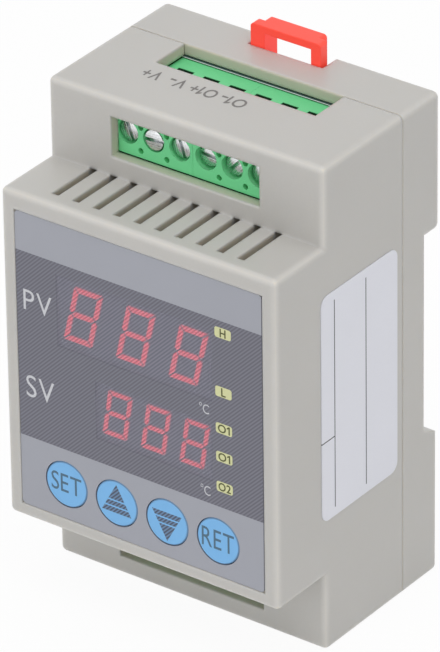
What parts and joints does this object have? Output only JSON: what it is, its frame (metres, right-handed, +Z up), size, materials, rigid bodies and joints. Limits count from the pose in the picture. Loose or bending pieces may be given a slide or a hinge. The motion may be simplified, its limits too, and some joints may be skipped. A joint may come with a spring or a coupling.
{
  "type": "din rail temperature controller",
  "caption": "Rail-mounted temperature controller with a stepped grey case, red number displays, round blue keys, green screw terminals and a sliding red rail catch.",
  "frame": {"origin": "centre of the seat that lies against the mounting rail", "axes": "+X right seen from the front, +Y back to the rail, +Z up"},
  "size_m": [0.0537, 0.0444, 0.0917],
  "materials": {
    "case": "fine moulded texture",
    "catch": "smooth moulded",
    "foil": "printed film",
    "keys": "printed, satin",
    "terminals": "moulded",
    "zinc": "zinc plated",
    "cage_metal": "plated",
    "contact_metal": "tinned",
    "board": "solder mask",
    "display_case": "dark",
    "lit_red": "diffused",
    "lamp": "diffused",
    "switch": "moulded",
    "connector": "moulded",
    "relay": "moulded",
    "ferrite": "ground",
    "winding": "taped",
    "can": "sleeved",
    "label": "satin paper film"
  },
  "bodies": {
    "case": {"front_cover": "case", "rear_base": "case", "front_film": "foil", "key_switches": "switch", "main_board": "board", "display_board": "board", "pv_display": "display_case", "sv_display": "display_case", "pv_segments": "lit_red", "sv_segments": "lit_red", "indicator_leds": "lamp", "terminal_contacts": "contact_metal", "header_strip": "connector", "header_socket": "connector", "header_pins": "contact_metal", "relay": "relay", "transformer_core": "ferrite", "transformer_coil": "winding", "capacitor": "can", "board_screws": "zinc", "side_label": "label", "terminal_top_left": "terminals", "terminal_top_right": "terminals", "terminal_bottom_left": "terminals", "terminal_bottom_right": "terminals"},
    "catch": {"rail_clip": "catch"},
    "set_key": {"key_set": "keys", "plunger_set": "switch"},
    "up_key": {"key_up": "keys", "plunger_up": "switch"},
    "down_key": {"key_down": "keys", "plunger_down": "switch"},
    "return_key": {"key_return": "keys", "plunger_return": "switch"},
    "top_screw_1": {"screw_top_1": "zinc"},
    "top_cage_1": {"cage_top_1": "cage_metal"},
    "top_screw_2": {"screw_top_2": "zinc"},
    "top_cage_2": {"cage_top_2": "cage_metal"},
    "top_screw_3": {"screw_top_3": "zinc"},
    "top_cage_3": {"cage_top_3": "cage_metal"},
    "top_screw_4": {"screw_top_4": "zinc"},
    "top_cage_4": {"cage_top_4": "cage_metal"},
    "top_screw_5": {"screw_top_5": "zinc"},
    "top_cage_5": {"cage_top_5": "cage_metal"},
    "top_screw_6": {"screw_top_6": "zinc"},
    "top_cage_6": {"cage_top_6": "cage_metal"},
    "bottom_screw_1": {"screw_bottom_1": "zinc"},
    "bottom_cage_1": {"cage_bottom_1": "cage_metal"},
    "bottom_screw_2": {"screw_bottom_2": "zinc"},
    "bottom_cage_2": {"cage_bottom_2": "cage_metal"},
    "bottom_screw_3": {"screw_bottom_3": "zinc"},
    "bottom_cage_3": {"cage_bottom_3": "cage_metal"},
    "bottom_screw_4": {"screw_bottom_4": "zinc"},
    "bottom_cage_4": {"cage_bottom_4": "cage_metal"},
    "bottom_screw_5": {"screw_bottom_5": "zinc"},
    "bottom_cage_5": {"cage_bottom_5": "cage_metal"},
    "bottom_screw_6": {"screw_bottom_6": "zinc"},
    "bottom_cage_6": {"cage_bottom_6": "cage_metal"}
  },
  "joints": [
    {"name": "catch_slide", "type": "slide", "parent": "case", "child": "catch", "axis": [0, 0, 1], "range_m": [0, 0.003]},
    {"name": "set_key_press", "type": "slide", "parent": "case", "child": "set_key", "axis": [0, 1, 0], "range_m": [0, 0.0003], "stiffness_N_per_m": 4000},
    {"name": "up_key_press", "type": "slide", "parent": "case", "child": "up_key", "axis": [0, 1, 0], "range_m": [0, 0.0003], "stiffness_N_per_m": 4000},
    {"name": "down_key_press", "type": "slide", "parent": "case", "child": "down_key", "axis": [0, 1, 0], "range_m": [0, 0.0003], "stiffness_N_per_m": 4000},
    {"name": "return_key_press", "type": "slide", "parent": "case", "child": "return_key", "axis": [0, 1, 0], "range_m": [0, 0.0003], "stiffness_N_per_m": 4000},
    {"name": "top_screw_1_turn", "type": "hinge", "parent": "case", "child": "top_screw_1", "pos_m": [-0.0127, -0.02445, 0.0358], "axis": [0, 1, 0], "range_deg": [0, 1800]},
    {"name": "top_cage_1_lift", "type": "slide", "parent": "case", "child": "top_cage_1", "axis": [0, -1, 0], "range_m": [0, 0.0025]},
    {"name": "top_screw_2_turn", "type": "hinge", "parent": "case", "child": "top_screw_2", "pos_m": [-0.00762, -0.02445, 0.0358], "axis": [0, 1, 0], "range_deg": [0, 1800]},
    {"name": "top_cage_2_lift", "type": "slide", "parent": "case", "child": "top_cage_2", "axis": [0, -1, 0], "range_m": [0, 0.0025]},
    {"name": "top_screw_3_turn", "type": "hinge", "parent": "case", "child": "top_screw_3", "pos_m": [-0.00254, -0.02445, 0.0358], "axis": [0, 1, 0], "range_deg": [0, 1800]},
    {"name": "top_cage_3_lift", "type": "slide", "parent": "case", "child": "top_cage_3", "axis": [0, -1, 0], "range_m": [0, 0.0025]},
    {"name": "top_screw_4_turn", "type": "hinge", "parent": "case", "child": "top_screw_4", "pos_m": [0.00254, -0.02445, 0.0358], "axis": [0, 1, 0], "range_deg": [0, 1800]},
    {"name": "top_cage_4_lift", "type": "slide", "parent": "case", "child": "top_cage_4", "axis": [0, -1, 0], "range_m": [0, 0.0025]},
    {"name": "top_screw_5_turn", "type": "hinge", "parent": "case", "child": "top_screw_5", "pos_m": [0.00762, -0.02445, 0.0358], "axis": [0, 1, 0], "range_deg": [0, 1800]},
    {"name": "top_cage_5_lift", "type": "slide", "parent": "case", "child": "top_cage_5", "axis": [0, -1, 0], "range_m": [0, 0.0025]},
    {"name": "top_screw_6_turn", "type": "hinge", "parent": "case", "child": "top_screw_6", "pos_m": [0.0127, -0.02445, 0.0358], "axis": [0, 1, 0], "range_deg": [0, 1800]},
    {"name": "top_cage_6_lift", "type": "slide", "parent": "case", "child": "top_cage_6", "axis": [0, -1, 0], "range_m": [0, 0.0025]},
    {"name": "bottom_screw_1_turn", "type": "hinge", "parent": "case", "child": "bottom_screw_1", "pos_m": [-0.0127, -0.02445, -0.0388], "axis": [0, 1, 0], "range_deg": [0, 1800]},
    {"name": "bottom_cage_1_lift", "type": "slide", "parent": "case", "child": "bottom_cage_1", "axis": [0, -1, 0], "range_m": [0, 0.0025]},
    {"name": "bottom_screw_2_turn", "type": "hinge", "parent": "case", "child": "bottom_screw_2", "pos_m": [-0.00762, -0.02445, -0.0388], "axis": [0, 1, 0], "range_deg": [0, 1800]},
    {"name": "bottom_cage_2_lift", "type": "slide", "parent": "case", "child": "bottom_cage_2", "axis": [0, -1, 0], "range_m": [0, 0.0025]},
    {"name": "bottom_screw_3_turn", "type": "hinge", "parent": "case", "child": "bottom_screw_3", "pos_m": [-0.00254, -0.02445, -0.0388], "axis": [0, 1, 0], "range_deg": [0, 1800]},
    {"name": "bottom_cage_3_lift", "type": "slide", "parent": "case", "child": "bottom_cage_3", "axis": [0, -1, 0], "range_m": [0, 0.0025]},
    {"name": "bottom_screw_4_turn", "type": "hinge", "parent": "case", "child": "bottom_screw_4", "pos_m": [0.00254, -0.02445, -0.0388], "axis": [0, 1, 0], "range_deg": [0, 1800]},
    {"name": "bottom_cage_4_lift", "type": "slide", "parent": "case", "child": "bottom_cage_4", "axis": [0, -1, 0], "range_m": [0, 0.0025]},
    {"name": "bottom_screw_5_turn", "type": "hinge", "parent": "case", "child": "bottom_screw_5", "pos_m": [0.00762, -0.02445, -0.0388], "axis": [0, 1, 0], "range_deg": [0, 1800]},
    {"name": "bottom_cage_5_lift", "type": "slide", "parent": "case", "child": "bottom_cage_5", "axis": [0, -1, 0], "range_m": [0, 0.0025]},
    {"name": "bottom_screw_6_turn", "type": "hinge", "parent": "case", "child": "bottom_screw_6", "pos_m": [0.0127, -0.02445, -0.0388], "axis": [0, 1, 0], "range_deg": [0, 1800]},
    {"name": "bottom_cage_6_lift", "type": "slide", "parent": "case", "child": "bottom_cage_6", "axis": [0, -1, 0], "range_m": [0, 0.0025]}
  ],
  "couplings": [
    {"joint": "top_screw_1_turn", "follows": "top_cage_1_lift", "rad_per_m": 12566},
    {"joint": "top_screw_2_turn", "follows": "top_cage_2_lift", "rad_per_m": 12566},
    {"joint": "top_screw_3_turn", "follows": "top_cage_3_lift", "rad_per_m": 12566},
    {"joint": "top_screw_4_turn", "follows": "top_cage_4_lift", "rad_per_m": 12566},
    {"joint": "top_screw_5_turn", "follows": "top_cage_5_lift", "rad_per_m": 12566},
    {"joint": "top_screw_6_turn", "follows": "top_cage_6_lift", "rad_per_m": 12566},
    {"joint": "bottom_screw_1_turn", "follows": "bottom_cage_1_lift", "rad_per_m": 12566},
    {"joint": "bottom_screw_2_turn", "follows": "bottom_cage_2_lift", "rad_per_m": 12566},
    {"joint": "bottom_screw_3_turn", "follows": "bottom_cage_3_lift", "rad_per_m": 12566},
    {"joint": "bottom_screw_4_turn", "follows": "bottom_cage_4_lift", "rad_per_m": 12566},
    {"joint": "bottom_screw_5_turn", "follows": "bottom_cage_5_lift", "rad_per_m": 12566},
    {"joint": "bottom_screw_6_turn", "follows": "bottom_cage_6_lift", "rad_per_m": 12566}
  ]
}
